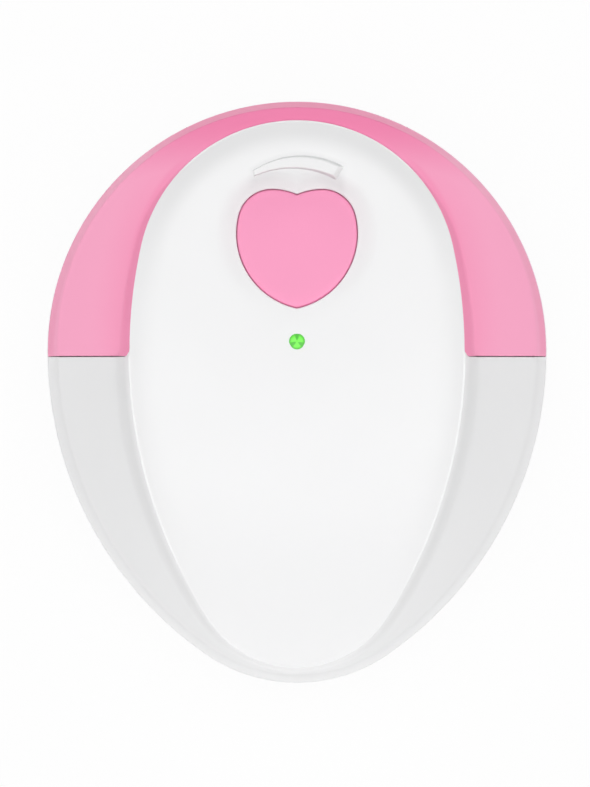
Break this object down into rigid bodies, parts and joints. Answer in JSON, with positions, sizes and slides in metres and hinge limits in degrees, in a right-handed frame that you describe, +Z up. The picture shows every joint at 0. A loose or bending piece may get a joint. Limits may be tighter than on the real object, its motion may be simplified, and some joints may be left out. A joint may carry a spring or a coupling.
{
  "type": "fetal doppler monitor",
  "caption": "Egg-shaped pocket fetal doppler with a heart push button, status light, volume wheel, headphone sockets, hinged battery door and a round probe face below.",
  "frame": {"origin": "under the middle of the case, on the surface that the probe face and the door's ribs stand on", "axes": "+Z up through the panel, +Y to the broad end with the sockets and the wheel, X across"},
  "size_m": [0.0828, 0.0963, 0.037],
  "materials": {
    "white_shell": "smooth satin-gloss moulded ABS",
    "pink_cover": "smooth satin-gloss moulded ABS",
    "pink_button": "smooth satin-gloss moulded ABS",
    "white_base": "smooth moulded ABS, fine spark texture below",
    "light_window": "clear green faceted acrylic",
    "dark_plastic": "black nylon",
    "foam": "closed-cell foam",
    "battery_jacket": "plain printed steel jacket, no lettering",
    "cell_cans": "bare metal cell cans",
    "plated_steel": "zinc plated",
    "red_insulation": "PVC insulation",
    "black_insulation": "PVC insulation",
    "grey_insulation": "PVC insulation",
    "probe_face": "smooth polycarbonate face",
    "seal_rubber": "nitrile gasket",
    "piezo_silver": "silvered ceramic",
    "cork_brown": "cork and rubber damping strip",
    "damping_block": "filled epoxy",
    "probe_cup_grey": "moulded ABS",
    "board_green": "glass-epoxy board with solder mask",
    "lamp_white": "surface-mount lamp",
    "chip_black": "moulded package",
    "capacitor_sleeve": "shrink sleeve",
    "pot_grey": "moulded nylon",
    "wheel_grey": "moulded nylon, grooved rim"
  },
  "bodies": {
    "case": {"front_shell": "white_shell", "crown_cover": "pink_cover", "led_lens": "light_window", "base_shell": "white_base", "battery": "battery_jacket", "battery_cells": "cell_cans", "battery_terminals": "plated_steel", "battery_snap": "dark_plastic", "battery_lead_red": "red_insulation", "battery_lead_black": "black_insulation", "probe_lens": "probe_face", "probe_gasket": "seal_rubber", "piezo_transmitter": "piezo_silver", "piezo_receiver": "piezo_silver", "probe_divider": "cork_brown", "probe_backing": "damping_block", "probe_cup": "probe_cup_grey", "probe_leads": "grey_insulation", "main_board": "board_green", "tact_switch": "dark_plastic", "led_body": "lamp_white", "audio_chip": "chip_black", "driver_chip": "chip_black", "capacitor_group": "capacitor_sleeve", "crystal": "plated_steel", "board_screws": "plated_steel", "rear_board": "board_green", "rear_board_screws": "plated_steel", "headphone_jack_left": "dark_plastic", "headphone_jack_right": "dark_plastic", "volume_pot": "pot_grey", "wheel_washer": "plated_steel", "board_jumper": "grey_insulation", "case_screws": "plated_steel"},
    "button": {"heart_button": "pink_button", "switch_plunger": "dark_plastic"},
    "door": {"battery_door": "white_base", "door_foam_pad": "foam"},
    "wheel": {"volume_wheel": "wheel_grey"}
  },
  "joints": [
    {"name": "button_press", "type": "slide", "parent": "case", "child": "button", "axis": [0, 0, -1], "range_m": [0, 0.0005], "stiffness_N_per_m": 1200},
    {"name": "door_swing", "type": "hinge", "parent": "case", "child": "door", "pos_m": [0, -0.00055, 0.001], "axis": [-1, 0, 0], "range_deg": [0, 70]},
    {"name": "volume_turn", "type": "hinge", "parent": "case", "child": "wheel", "pos_m": [0, 0.0391, 0.0097], "axis": [0, 0, 1], "range_deg": [-135, 135]}
  ]
}
